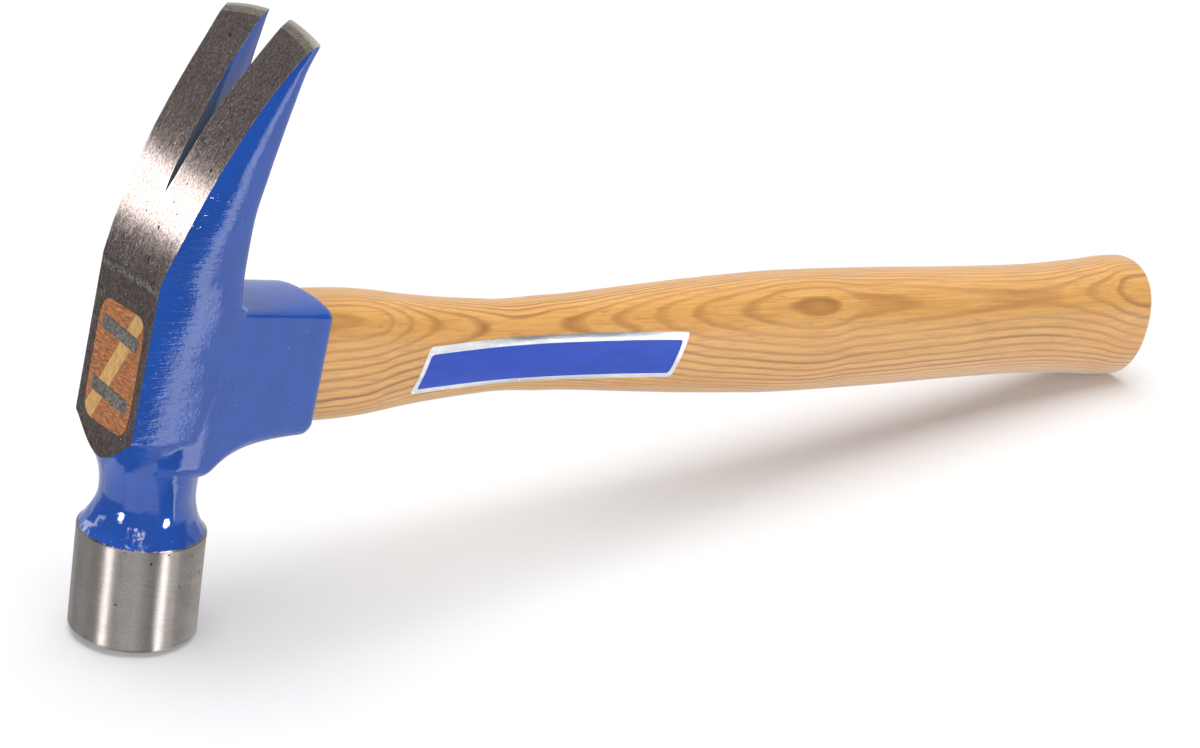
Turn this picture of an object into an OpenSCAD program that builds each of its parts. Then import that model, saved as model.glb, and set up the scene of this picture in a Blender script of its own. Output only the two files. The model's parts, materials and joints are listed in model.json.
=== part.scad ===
// Framing hammer: one forged rip-claw head on a hickory handle, locked by a wooden and two steel wedges.
// Every piece is drawn about the hammer's own axes: X along the handle to the butt, Z up to the claws,
// and zero where the poll's axis crosses the handle's centreline. The finished hammer is then tilted
// until the poll's rim and the butt both touch the ground, as it stands when it is put down.

/* [Overall] */
// Length from the ground face over the eye to the end of the butt
overall_length = 406; // [340:1:500]

/* [Cheeks] */
// From the poll's axis forward to the ground face over the eye
face_setback = 13.4; // [12:0.2:18]
// Width across the cheeks, at the ridge along their sides
cheek_width = 29; // [27.5:0.5:36]
// Width of the ground face beside the eye
ground_width = 26.6; // [24.5:0.2:32]
// From the handle's centreline down to where the cheeks turn in to the neck
cheek_drop = 17.5; // [16:0.5:19]

/* [Socket] */
// Width of the socket
socket_width = 27; // [26.5:0.5:34]
// From the poll's axis back to the end of the socket
socket_reach = 43.8; // [38:0.2:56]
// Height of the socket
socket_height = 37; // [36:0.2:46]
// How far the web reaches down below the socket, behind the neck
web_drop = 10; // [6:0.2:12]
// Length over which the web runs out to a third of its drop
web_run = 8.3; // [6:0.1:12]

/* [Eye] */
// Height of the eye at the ground face
eye_height = 32.6; // [28:0.2:34]
// How far the eye sits below the handle's centreline at the ground face
eye_drop = 0.8; // [0:0.1:1.5]
// Width of the eye at the ground face
eye_width = 20.4; // [17:0.2:22]
// How much narrower the eye is at its waist, each way
eye_waist = 1.6; // [0:0.2:3]
// Gap between the wood and the eye's wall
fit_gap = 0.05; // [0.02:0.01:0.2]

/* [Poll] */
// Diameter of the turned poll
poll_diameter = 34.2; // [29:0.2:40]
// From the handle's centreline to the striking face, along the poll's axis
poll_reach = 75.8; // [68:0.1:95]
// Length of the turned poll
poll_length = 28.9; // [20:0.1:32]
// Lean of the poll's axis, its face towards the butt
poll_lean = 5.5; // [0:0.5:7]
// Chamfer round the striking face
face_chamfer = 1.1; // [0.5:0.1:3]
// Distance that the neck's middle lies behind the poll's axis
neck_back = 0.6; // [0:0.1:1.5]
// Width of the eight-sided neck across its flats
neck_width = 25.4; // [22:0.2:27]

/* [Claws] */
// From the handle's centreline up to the claw tips
claw_height = 93.4; // [78:0.2:112]
// From the handle's centreline up to where the claws start to curve
claw_start = 25.7; // [24:0.1:30]
// Angle at which the claws leave the ground face
claw_break = 13; // [6:1:18]
// Radius of the claws' ground tops
claw_radius = 192; // [150:1:260]
// Width across both claws at the tips
claw_spread = 40.4; // [36:0.2:50]
// Radius of the rounded tip line, seen from the top
tip_radius = 70; // [50:1:80]
// Thickness of a claw at its tip
tip_thickness = 0.9; // [0.7:0.1:3]
// Least depth from the plane of the ground face to the claws' underside
throat_depth = 25.2; // [21:0.2:30]
// From the handle's centreline up to where the underside comes nearest
throat_height = 44; // [36:0.5:52]
// Radius where the claws' underside meets the socket
root_radius = 1.6; // [1:0.2:4]
// Length of the nail slot
slot_length = 47.4; // [30:0.2:56]
// Width of the nail slot at the tips
slot_width = 9.2; // [7:0.2:12]

/* [Handle] */
// Height of the handle where it leaves the socket
shoulder_height = 35.4; // [31:0.2:36]
// Width of the handle where it leaves the socket
shoulder_width = 25; // [21:0.2:26]
// Height of the handle at its slimmest
waist_height = 26.2; // [21:0.2:33]
// Width of the handle at its slimmest
waist_width = 20; // [16:0.2:25]
// From the socket to the slimmest place
waist_reach = 69; // [50:1:90]
// Height of the handle at its belly
belly_height = 37.8; // [30:0.2:45]
// Width of the handle at its belly
belly_width = 28.8; // [22:0.2:35]
// From the butt to the belly
belly_reach = 154; // [125:1:180]
// Height of the grip where the hand holds it
grip_height = 36.2; // [29:0.2:43]
// Width of the grip where the hand holds it
grip_width = 27.6; // [22:0.2:33]
// From the butt to the grip
grip_reach = 53; // [44:1:70]
// Height of the flared butt
butt_height = 41.2; // [34:0.2:49]
// Width of the flared butt
butt_width = 31; // [25:0.2:37]
// Radius of the butt's rounded rim
butt_rim = 4; // [2:0.2:6]

/* [Wedges] */
// Thickness of the wooden wedge at the eye
wood_wedge_thickness = 4.5; // [3:0.1:6]
// Depth that the wooden wedge is driven
wood_wedge_depth = 26; // [20:0.5:32]
// Turn of the wooden wedge from the eye's long axis
wood_wedge_turn = 27; // [20:1:32]
// Thickness of a steel wedge at the eye
steel_wedge_thickness = 3.8; // [3:0.1:5]
// Wood left between each end of a steel wedge and the side of the eye
steel_wedge_margin = 1.8; // [1.5:0.1:4]
// Depth that a steel wedge is driven
steel_wedge_depth = 19; // [12:0.5:22]
// Turn of a steel wedge from the eye's short axis
steel_wedge_turn = 5; // [0:1:8]
// Distance between the steel wedges, centre to centre
steel_wedge_spacing = 16.8; // [13:0.2:19]

/* [Label] */
// From the socket to the label
label_reach = 34; // [25:1:55]
// Length of the label along its lower edge
label_length = 97; // [75:1:115]
// How far the middle of the label sits below the handle's centreline
label_drop = 3; // [0:0.2:4]
// Height of the label
label_height = 13.6; // [9:0.2:15]
// How far the label's ends lean
label_lean = 4; // [0:0.5:10]
// Thickness of the foil
label_thickness = 0.15; // [0.1:0.05:0.4]

/* [Hidden] */
$fn = 72;

// One overrun serves every cut and every inner overlap
overrun = 2;

// Places along the handle, from the poll's axis
butt_end = overall_length - face_setback;
belly_at = butt_end - belly_reach;
grip_at = butt_end - grip_reach;
waist_at = socket_reach + waist_reach;
// The wood runs on at its full shoulder size for this far past the socket
shoulder_run = 2;
// Spacing of the sections along the handle, and how many sides each has
section_step = 9;
section_sides = 36;
rim_steps = 4;
eye_steps = 4;
// Inside the head: where the eye is tightest, and the opening at the socket's end
eye_waist_at = 11;
mouth_lip = 1.4;
mouth_height = shoulder_height - 2 * mouth_lip;
mouth_width = shoulder_width - 2 * mouth_lip;
// Length of a steel wedge across the eye
steel_wedge_length = eye_width - 2 * steel_wedge_margin;
// Length of the straight run before the end of the butt
butt_flat = 8;

// How square a section is: the power of its superellipse
eye_power_share = 6;
socket_power_share = 4.5;
shoulder_power_share = 2.8;
grip_power_share = 2.25;

// Places along the poll's axis, down from the handle's centreline
shoulder_depth = poll_reach - poll_length;
neck_depth = 35.4;
upper_flare_radius = 22;
flare_steps = 6;
eight_sides = 8;
flat_turn = 180 / eight_sides;
to_corner_share = 1 / cos(flat_turn);
// How far the eight corners stay inside the poll's rim
corner_inset = 0.3;

// The claws: how many sections they have, and their width part of the way up
claw_steps = 12;
root_steps = 4;
socket_steps = 16;
middle_height = 71;
middle_width = 34.6;
rear_edge = 3;
rear_tuck = 1.6;
throat_round = 4;
ridge_share = 0.55;
slot_end_width = 1.9;
slot_end_run = 5.2;

// Everything in a station after its place
function slice(station) = [for (j = [1:len(station) - 1]) station[j]];

// From 0 to 1 along a smooth S
function ease(t) = (1 - cos(180 * t)) / 2;

// A mix of two equally long lists
function mix(a, b, t) = a + (b - a) * t;

// Stations of the wood: place, half height, half width, squareness, and how far its middle drops
WOOD = [
    [-face_setback, eye_height / 2, eye_width / 2, eye_power_share, eye_drop],
    [eye_waist_at, eye_height / 2 - eye_waist, eye_width / 2 - eye_waist, eye_power_share, 0],
    [socket_reach, mouth_height / 2, mouth_width / 2, shoulder_power_share, 0],
    [socket_reach, shoulder_height / 2, shoulder_width / 2, shoulder_power_share, 0],
    [socket_reach + shoulder_run, shoulder_height / 2, shoulder_width / 2, shoulder_power_share, 0],
    [waist_at, waist_height / 2, waist_width / 2, grip_power_share, 0],
    [belly_at, belly_height / 2, belly_width / 2, grip_power_share, 0],
    [grip_at, grip_height / 2, grip_width / 2, grip_power_share, 0],
    [butt_end - butt_flat, butt_height / 2, butt_width / 2, grip_power_share, 0],
    [butt_end - butt_rim, butt_height / 2, butt_width / 2, grip_power_share, 0]
];

// One ring of a superellipse across the handle
function ring(station, grow = 0) = [
    for (i = [0:section_sides - 1])
        let (
            turn = 360 * (i + 0.5) / section_sides,
            power = 2 / station[3],
            side = sign(cos(turn)) * pow(abs(cos(turn)), power),
            up = sign(sin(turn)) * pow(abs(sin(turn)), power)
        )
        [station[0], (station[2] + grow) * side, (station[1] + grow) * up - station[4]]
];

// Stations between two of the table's rows, with the first row but not the last
function between(i, steps) = [
    for (k = [0:steps - 1])
        let (t = k / steps)
        [for (j = [0:len(WOOD[i]) - 1]) mix(WOOD[i][j], WOOD[i + 1][j], j == 0 ? t : ease(t))]
];

function steps_for(i) = max(1, round((WOOD[i + 1][0] - WOOD[i][0]) / section_step));

// The butt's rim: a quarter round down to its flat end
function rim_station(k) =
    let (last = WOOD[len(WOOD) - 1], turn = 90 * k / rim_steps)
    [last[0] + butt_rim * sin(turn), last[1] - butt_rim * (1 - cos(turn)),
     last[2] - butt_rim * (1 - cos(turn)), last[3], last[4]];

tenon_stations = concat(between(0, eye_steps), between(1, eye_steps), [WOOD[2]]);
grip_stations = concat(
    [for (i = [3:len(WOOD) - 2]) each between(i, steps_for(i))],
    [for (k = [0:rim_steps]) rim_station(k)]
);

// Tilt at which the rim of the striking face and the underside of the grip touch one plane
function foot_point(a) = [
    poll_reach * sin(poll_lean) + (poll_diameter / 2 - face_chamfer) * cos(poll_lean) * a,
    -poll_reach * cos(poll_lean) + (poll_diameter / 2 - face_chamfer) * sin(poll_lean) * a
];
foot = foot_point(1);
rest_tilt = min([for (s = grip_stations) atan2(-s[1] - foot[1], s[0] - foot[0])]);

// Height above the ground and reach along it of a point (x, z), once the hammer is tilted
function up_of(x, z) = z * cos(rest_tilt) - x * sin(rest_tilt);
function along_of(x, z) = x * cos(rest_tilt) + z * sin(rest_tilt);
lift = -up_of(foot[0], foot[1]);
poll_back = [
    (poll_reach - face_chamfer) * sin(poll_lean) - poll_diameter / 2 * cos(poll_lean),
    -(poll_reach - face_chamfer) * cos(poll_lean) - poll_diameter / 2 * sin(poll_lean)
];
reach_back = along_of(poll_back[0], poll_back[1]);
reach_ahead = max([for (s = grip_stations) for (side = [-1, 1]) along_of(s[0], side * s[1])]);
centre_along = (reach_back + reach_ahead) / 2;

// Sets a piece down as the hammer stands, over the middle of the ground it covers
module stood() {
    translate([-centre_along, 0, lift])
        rotate([0, rest_tilt, 0])
            children();
}

// A closed skin over rings of equal length, with a flat cap at each end
module loft(rings) {
    n = len(rings[0]);
    last = (len(rings) - 1) * n;
    polyhedron(
        points = [for (r = rings) each r],
        faces = concat(
            [[for (i = [0:n - 1]) i]],
            [
                for (k = [0:len(rings) - 2])
                    for (i = [0:n - 1])
                        let (a = k * n + i, b = k * n + (i + 1) % n)
                        each [[b, a, a + n], [b, a + n, b + n]]
            ],
            [[for (i = [n - 1:-1:0]) last + i]]
        )
    );
}

// The wood inside the head, or the space that it fills
module tenon(grow, past) {
    first = tenon_stations[0];
    last = tenon_stations[len(tenon_stations) - 1];
    stretched = concat(
        [concat(first[0] - past, slice(first))],
        tenon_stations,
        [concat(last[0] + past, slice(last))]
    );
    loft([for (s = past > 0 ? stretched : tenon_stations) ring(s, grow)]);
}

// Place of the claws' ground top and of their underside at a height
function top_at(z) =
    z <= claw_start ? -face_setback :
    let (turn = asin(sin(claw_break) + (z - claw_start) / claw_radius))
    -face_setback + claw_radius * (cos(claw_break) - cos(turn));

// The underside comes nearest at the throat and runs out from it both ways, rounded there
function from_throat(z) =
    let (away = z - throat_height)
    sqrt(away * away + throat_round * throat_round) - throat_round;
throat_at = throat_depth - face_setback;
underside_slope = (top_at(claw_height) + tip_thickness - throat_at) / from_throat(claw_height);
socket_top = socket_height / 2;
function under_at(z) =
    let (
        level = max(z, socket_top),
        rise = min(root_radius, max(0, socket_top + root_radius - level))
    )
    throat_at + underside_slope * from_throat(level)
        + root_radius - sqrt(root_radius * root_radius - rise * rise);

// Half width of the ground top at a height
function half_width_at(z) =
    z <= claw_start ? ground_width / 2 :
    z <= middle_height ?
        mix(ground_width, middle_width, (z - claw_start) / (middle_height - claw_start)) / 2 :
        mix(middle_width, claw_spread, (z - middle_height) / (claw_height - middle_height)) / 2;

// One level section of the cheeks and claws: narrow ground top, a ridge along each side, rounded rear edges
root_depth = under_at(socket_top + root_radius) + face_setback;
function head_ring(z) =
    let (
        top = top_at(z),
        under = under_at(z),
        share = min(1, (under - top) / root_depth),
        narrow = half_width_at(z),
        wide = narrow + (cheek_width - ground_width) / 2 * share,
        back = narrow - rear_tuck * share,
        ridge = mix(top, under, ridge_share),
        edge = min(rear_edge, (under - top) / 2)
    )
    [
        [top, -narrow, z], [ridge, -wide, z], [under - edge, -back, z], [under, edge - back, z],
        [under, back - edge, z], [under - edge, back, z], [ridge, wide, z], [top, narrow, z]
    ];

head_levels = concat(
    [for (k = [0:root_steps]) socket_top + root_radius * (1 - cos(90 * k / root_steps))],
    [for (k = [0:claw_steps]) mix(claw_start, claw_height, k / claw_steps)]
);

// Below the neck the block is wide, so that only the neck's own sides shape it there
function foot_ring(z) = [for (p = head_ring(-neck_depth)) [2 * p[0], 2 * p[1], z]];

// Outline across the head above the neck, with the round of the tip line on top
module upright() {
    straight = claw_height - tip_radius;
    translate([-tip_radius, -cheek_drop])
        square([2 * tip_radius, cheek_drop + straight]);
    translate([0, straight])
        intersection() {
            circle(tip_radius);
            translate([-tip_radius, -overrun])
                square([2 * tip_radius, tip_radius + 2 * overrun]);
        }
}

// Cheeks, claws and the eight-sided neck: one block, trimmed to the round tip line and to the neck
module cheeks_and_claws() {
    intersection() {
        loft(concat(
            [foot_ring(-poll_reach), foot_ring(-neck_depth - overrun), head_ring(-neck_depth)],
            [for (z = head_levels) head_ring(z)]
        ));
        union() {
            translate([-claw_height, 0, 0])
                rotate([90, 0, 90])
                    linear_extrude(2 * claw_height)
                        upright();
            neck();
        }
    }
}

// The socket that the handle enters, with the web that runs from under it down to the neck
web_start = neck_width / 2;
function socket_low(x) = socket_height / 2 + web_drop * exp(-max(0, x - web_start) / web_run);
function socket_station(x) =
    let (low = socket_low(x), high = socket_height / 2)
    [x, (low + high) / 2, socket_width / 2, socket_power_share, (low - high) / 2];

module socket() {
    loft([for (k = [0:socket_steps]) ring(socket_station(mix(neck_back, socket_reach, k / socket_steps)))]);
}

// One side of an outline round the neck's axis: a hollow of a radius, deepest at the neck
function flare(from, to, radius) = [
    for (k = [0:flare_steps])
        let (depth = mix(from, to, k / flare_steps), away = depth - neck_depth)
        [(neck_width / 2 + radius - sqrt(radius * radius - away * away)) * to_corner_share, -depth]
];

// The neck's eight hollow sides: they run up into the cheeks and down to the poll's shoulder
module neck() {
    block_top = cheek_drop - overrun;
    corner_reach = poll_diameter / 2 - neck_back - corner_inset;
    // Radius of the lower hollow, from its reach out and its drop
    out = corner_reach / to_corner_share - neck_width / 2;
    drop = shoulder_depth - neck_depth;
    lower_radius = (drop * drop + out * out) / (2 * out);
    rotate([0, -poll_lean, 0])
        translate([neck_back, 0, 0])
            rotate([0, 0, flat_turn])
                rotate_extrude($fn = eight_sides)
                    polygon(concat(
                        [[0, -block_top]],
                        flare(block_top, neck_depth, upper_flare_radius),
                        slice(flare(neck_depth, shoulder_depth, lower_radius)),
                        [[corner_reach, -shoulder_depth - overrun], [0, -shoulder_depth - overrun]]
                    ));
}

// The turned poll, with a chamfered face
module poll() {
    poll_radius = poll_diameter / 2;
    rotate([0, -poll_lean, 0])
        rotate_extrude()
            polygon([
                [0, -shoulder_depth],
                [poll_radius, -shoulder_depth],
                [poll_radius, face_chamfer - poll_reach],
                [poll_radius - face_chamfer, -poll_reach],
                [0, -poll_reach]
            ]);
}

// The nail slot between the claws
module slot() {
    low = claw_height - slot_length;
    pinch = slot_end_width / 2;
    mouth = slot_width / 2;
    rotate([90, 0, 90])
        linear_extrude(2 * claw_height, center = true)
            polygon([
                [0, low],
                [pinch, low + slot_end_run],
                [mouth, claw_height],
                [mouth, claw_height + overrun],
                [-mouth, claw_height + overrun],
                [-mouth, claw_height],
                [-pinch, low + slot_end_run]
            ]);
}

module head() {
    color("royalblue")
        stood()
            difference() {
                union() {
                    cheeks_and_claws();
                    socket();
                    poll();
                }
                tenon(fit_gap, overrun);
                slot();
            }
}

// A wedge driven in from the ground face: full thickness at the face, an edge at its depth
module wedge(length, thickness, depth, tip) {
    rotate([90, 0, 0])
        linear_extrude(length, center = true)
            polygon([
                [0, -thickness / 2],
                [depth, -tip / 2],
                [depth, tip / 2],
                [0, thickness / 2]
            ]);
}

module steel_wedge(side, gap) {
    translate([-face_setback, 0, side * steel_wedge_spacing / 2])
        rotate([steel_wedge_turn, 0, 0])
            wedge(
                steel_wedge_length + 2 * gap,
                steel_wedge_thickness + 2 * gap,
                steel_wedge_depth + gap,
                2 * gap + fit_gap
            );
}

module wood_wedge_blade(gap) {
    translate([-face_setback, 0, 0])
        rotate([90 + wood_wedge_turn, 0, 0])
            wedge(
                belly_height + eye_height,
                wood_wedge_thickness + 2 * gap,
                wood_wedge_depth + gap,
                2 * gap + fit_gap
            );
}

module handle() {
    color("burlywood")
        stood()
            difference() {
                union() {
                    tenon(0, 0);
                    loft([for (s = grip_stations) ring(s)]);
                }
                wood_wedge_blade(fit_gap);
                for (side = [-1, 1])
                    steel_wedge(side, fit_gap);
            }
}

module wood_wedge() {
    color("wheat")
        stood()
            difference() {
                intersection() {
                    wood_wedge_blade(0);
                    tenon(0, 0);
                }
                for (side = [-1, 1])
                    steel_wedge(side, fit_gap);
            }
}

module steel_wedge_claw_side() {
    color("dimgray")
        stood()
            steel_wedge(1, 0);
}

module steel_wedge_poll_side() {
    color("dimgray")
        stood()
            steel_wedge(-1, 0);
}

// The foil on the near side of the handle, with leaning ends
module label() {
    start = socket_reach + label_reach;
    color("mediumblue")
        stood()
            intersection() {
                difference() {
                    loft([for (s = grip_stations) ring(s, label_thickness)]);
                    loft([for (s = grip_stations) ring(s)]);
                }
                translate([start, -belly_width / 2, -label_drop - label_height / 2])
                    rotate([90, 0, 0])
                        linear_extrude(belly_width, center = true)
                            polygon([
                                [0, 0],
                                [label_length, 0],
                                [label_length + label_lean, label_height],
                                [label_lean, label_height]
                            ]);
            }
}

head();
handle();
wood_wedge();
steel_wedge_claw_side();
steel_wedge_poll_side();
label();
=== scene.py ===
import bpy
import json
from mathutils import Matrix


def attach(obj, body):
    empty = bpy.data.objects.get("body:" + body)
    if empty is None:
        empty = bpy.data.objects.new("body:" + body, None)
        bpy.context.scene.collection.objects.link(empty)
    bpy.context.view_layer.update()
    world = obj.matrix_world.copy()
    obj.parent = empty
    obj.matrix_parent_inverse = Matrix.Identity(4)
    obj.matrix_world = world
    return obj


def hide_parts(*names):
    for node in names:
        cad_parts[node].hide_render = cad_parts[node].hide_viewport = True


bl_info = {
    "name": "Framing Hammer",
    "version": (1, 0, 0),
    "blender": (4, 5, 0),
    "location": "View3D > Sidebar > Hammer",
    "description": "Builds the looks of a rip-claw framing hammer round its CAD frame",
    "category": "Object",
}

import json
import math
from functools import partial

import bmesh
import bpy
import numpy as np
from bpy.props import FloatProperty, FloatVectorProperty, PointerProperty
from mathutils import Matrix, Vector, noise
from mathutils.bvhtree import BVHTree

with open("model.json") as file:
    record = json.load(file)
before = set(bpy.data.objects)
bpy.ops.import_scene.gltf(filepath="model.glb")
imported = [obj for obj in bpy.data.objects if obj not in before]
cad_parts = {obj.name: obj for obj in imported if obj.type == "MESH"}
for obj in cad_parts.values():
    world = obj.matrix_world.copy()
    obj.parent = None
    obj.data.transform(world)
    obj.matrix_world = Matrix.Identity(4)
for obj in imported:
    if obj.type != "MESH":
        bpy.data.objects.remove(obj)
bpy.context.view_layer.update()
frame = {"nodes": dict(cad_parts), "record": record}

# The pieces are drawn in millimetres along the hammer's own axes: x along the handle from the poll's
# axis, z up to the claws, y across. STAND sets such a point down as the hammer stands, in metres.
MM = 0.001
POLL_LEAN = math.radians(5.5)
POLL_REACH = 75.8
strike = next(m for m in frame["record"]["mounts"] if m["name"] == "striking_face")
TILT = POLL_LEAN - math.asin(strike["axis"][0])
TURN = Matrix.Rotation(TILT, 4, "Y")
POLL_AXIS = Vector((math.sin(POLL_LEAN), 0, -math.cos(POLL_LEAN)))
FOOT = Vector(strike["pos_m"]) - TURN @ (POLL_AXIS * POLL_REACH * MM)
STAND = Matrix.Translation(FOOT) @ TURN @ Matrix.Scale(MM, 4)

# The photograph, in pixels, and the camera that was fitted to it, in hammer millimetres
PHOTO_WIDTH = 1200
FOCAL_PIXELS = 3200
CAMERA_TURN = -44.897
CAMERA_RISE = 17.095
CAMERA_ROLL = 12.885
CAMERA_DISTANCE = 921.35
CAMERA_ASIDE = 7.071
CAMERA_DOWN = -9.58
CAMERA_TARGET = (144.78, 0, 0)
SENSOR = 36


def srgb(code):
    """A linear colour from an sRGB hex value."""
    parts = [int(code[i:i + 2], 16) / 255 for i in (0, 2, 4)]
    linear = [c / 12.92 if c <= 0.04045 else ((c + 0.055) / 1.055) ** 2.4 for c in parts]
    return (*linear, 1.0)


def length(name, about, size):
    return FloatProperty(name=name, description=about, default=size * MM, unit="LENGTH")


def colour(name, about, code):
    return FloatVectorProperty(
        name=name, description=about, default=srgb(code), size=4, subtype="COLOR", min=0, max=1
    )


class HammerHeadSizes(bpy.types.PropertyGroup):
    """Sizes and colours of the forged head"""
    poll_radius: length("Poll radius", "Radius of the turned poll", 17.1)
    poll_chamfer: length("Face chamfer", "Chamfer round the striking face", 1.1)
    forging_grain: length("Forging mesh", "Size of the cells of the forged body's mesh", 0.62)
    paint_build: length("Paint build", "How far the thick paint stands out on the poll", 0.18)
    tip_bevel: length("Tip bevel", "Length of the bare bevel at the claw tips", 2.2)
    enamel: colour("Enamel", "Colour of the enamel", "1B4FAB")
    ground: colour("Ground steel", "Colour of the belt-ground face and claws", "9C8F8B")
    brushed: colour("Brushed steel", "Colour of the turned poll", "8F8986")


class HammerHandleSizes(bpy.types.PropertyGroup):
    """Sizes and colours of the handle"""
    butt_end: length("Butt end", "Reach of the butt from the poll's axis", 392.35)
    socket_reach: length("Socket reach", "Reach of the socket from the poll's axis", 43.8)
    belly_height: length("Belly height", "Height of the handle at its belly", 37.7)
    belly_width: length("Belly width", "Width of the handle at its belly", 28.8)
    butt_rim: length("Butt rim", "Rounding of the edge of the butt", 2.4)
    ring_spacing: length("Ring spacing", "Width of the wood's yearly rings", 0.8)
    early_wood: colour("Early wood", "Colour of the light part of a ring", "E2AB62")
    late_wood: colour("Late wood", "Colour of the dark part of a ring", "7F4A1F")
    end_grain: colour("End grain", "Colour of the cut end in the eye", "BC7440")


class HammerTrimSizes(bpy.types.PropertyGroup):
    """Sizes and colours of the wedges and the label"""
    label_thickness: length("Label thickness", "Thickness of the foil", 0.13)
    label_border: length("Label border", "Width of the foil's silver border", 1.7)
    foil: colour("Foil", "Colour of the silver foil", "D5D7DA")
    print_blue: colour("Printed field", "Colour of the label's printed field", "244AB8")
    wedge_wood: colour("Wedge wood", "Colour of the wooden wedge", "CFA968")
    wedge_steel: colour("Wedge steel", "Colour of the steel wedges", "75716E")


class HammerStageSizes(bpy.types.PropertyGroup):
    """Sizes and levels of the stage"""
    floor_reach: length("Floor reach", "Half width of the floor", 6000)
    floor_white: FloatProperty(
        name="Floor white", description="White that the floor adds for the camera", default=0.12,
        min=0, max=1,
    )
    key_strength: FloatProperty(
        name="Key strength", description="Strength of the wide light overhead", default=3.1, min=0
    )


# Mesh work

def placed(name, data):
    """A new object in the scene."""
    made = bpy.data.objects.new(name, data)
    bpy.context.scene.collection.objects.link(made)
    return made


def turn_outward(mesh, merge=0.0):
    """Merges doubled points, where a distance is given, and turns every face outward."""
    work = bmesh.new()
    work.from_mesh(mesh)
    if merge:
        bmesh.ops.remove_doubles(work, verts=work.verts, dist=merge)
    bmesh.ops.recalc_face_normals(work, faces=work.faces)
    work.to_mesh(mesh)
    work.free()


def as_object(name, points, faces):
    """A new object from points and faces, still in hammer millimetres."""
    mesh = bpy.data.meshes.new(name)
    mesh.from_pydata([tuple(p) for p in points], [], [tuple(f) for f in faces])
    turn_outward(mesh, merge=1e-5)
    return placed(name, mesh)


def loft(name, rings):
    """A closed skin over rings that all have as many points."""
    rings = [np.asarray(r, float) for r in rings]
    count = len(rings[0])
    points = np.concatenate(rings)
    faces = [list(range(count))]
    for k in range(len(rings) - 1):
        for i in range(count):
            a, b = k * count + i, k * count + (i + 1) % count
            faces.append([a, b, b + count, a + count])
    last = (len(rings) - 1) * count
    faces.append([last + i for i in range(count)])
    return as_object(name, points, faces)


def applied(thing):
    """Turns the result of an object's modifiers into its plain mesh."""
    graph = bpy.context.evaluated_depsgraph_get()
    graph.update()
    mesh = bpy.data.meshes.new_from_object(thing.evaluated_get(graph), depsgraph=graph)
    thing.modifiers.clear()
    old, thing.data = thing.data, mesh
    bpy.data.meshes.remove(old)
    return thing


def drop(thing):
    """Removes an object and its mesh."""
    mesh = thing.data
    bpy.data.objects.remove(thing)
    bpy.data.meshes.remove(mesh)


def carve(thing, tool, operation="DIFFERENCE"):
    """Cuts a closed tool from an object, joins it on or keeps what they share, and drops the tool."""
    cut = thing.modifiers.new("carve", "BOOLEAN")
    cut.operation = operation
    cut.solver = "MANIFOLD"
    cut.object = tool
    applied(thing)
    if not thing.data.polygons:
        raise RuntimeError(f"nothing is left of {thing.name} after {tool.name}")
    drop(tool)
    return thing


def joined(name, things):
    """One object that holds the meshes of several, which are dropped."""
    work = bmesh.new()
    for thing in things:
        work.from_mesh(thing.data)
        drop(thing)
    mesh = bpy.data.meshes.new(name)
    work.to_mesh(mesh)
    work.free()
    return placed(name, mesh)


def read(mesh, kind, field, width=3):
    """A field of all the vertices or polygons, as rows."""
    items = getattr(mesh, kind)
    values = np.zeros(len(items) * width, np.float32)
    items.foreach_get(field, values)
    return values.reshape(-1, width).astype(float)


def finish_edges(mesh, limit=38):
    """Smooth faces, with a hard edge where two meet above an angle in degrees or change their finish."""
    work = bmesh.new()
    work.from_mesh(mesh)
    for edge in work.edges:
        pair = edge.link_faces
        same = len(pair) == 2 and pair[0].material_index == pair[1].material_index
        edge.smooth = same and edge.calc_face_angle(math.pi) < math.radians(limit)
    for face in work.faces:
        face.smooth = True
    work.to_mesh(mesh)
    work.free()


def clothe(thing, *materials):
    """Gives an object these materials in place of its own. All its faces then have the first."""
    thing.data.materials.clear()
    for material in materials:
        thing.data.materials.append(material)


def between(first, second, share):
    """Numbers that lie between those of two rows, by a share."""
    return [a + (b - a) * share for a, b in zip(first, second)]


def hand_over(thing, node):
    """Stands the finished piece in its place and gives it to the frame."""
    thing.data.transform(STAND)
    thing.data.update()
    thing.name = thing.data.name = node + "_piece"
    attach(thing, "root")
    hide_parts(node)
    return thing


# Materials

MATH = "ShaderNodeMath"
VECTOR = "ShaderNodeVectorMath"
RANGE = "ShaderNodeMapRange"
MIX = "ShaderNodeMix"
SOFT = {"interpolation_type": "SMOOTHSTEP"}
COLOUR = {"data_type": "RGBA", "out": 2}


def fill(node, values):
    """Sets a node's inputs by name or number, and links those whose value is a socket."""
    for key, value in values.items():
        if isinstance(value, bpy.types.NodeSocket):
            node.id_data.links.new(value, node.inputs[key])
        else:
            node.inputs[key].default_value = value


def add(tree, kind, *values, out=0, stops=None, **settings):
    """Adds a node with its settings, and gives back one of its outputs. Values fill its inputs in order,
    or by name or number from a dictionary. Stops shape its curve."""
    node = tree.nodes.new(kind)
    for key, value in settings.items():
        setattr(node, key, value)
    by_name = values and isinstance(values[0], dict)
    fill(node, values[0] if by_name else dict(enumerate(values)))
    if stops:
        points = node.mapping.curves[0].points
        for k, stop in enumerate(stops):
            if k < 2:
                points[k].location = stop
            else:
                points.new(*stop)
        for point in points:
            point.handle_type = "AUTO" if len(stops) > 5 else "VECTOR"
        node.mapping.update()
    return node.outputs[out] if node.outputs else node


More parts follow.
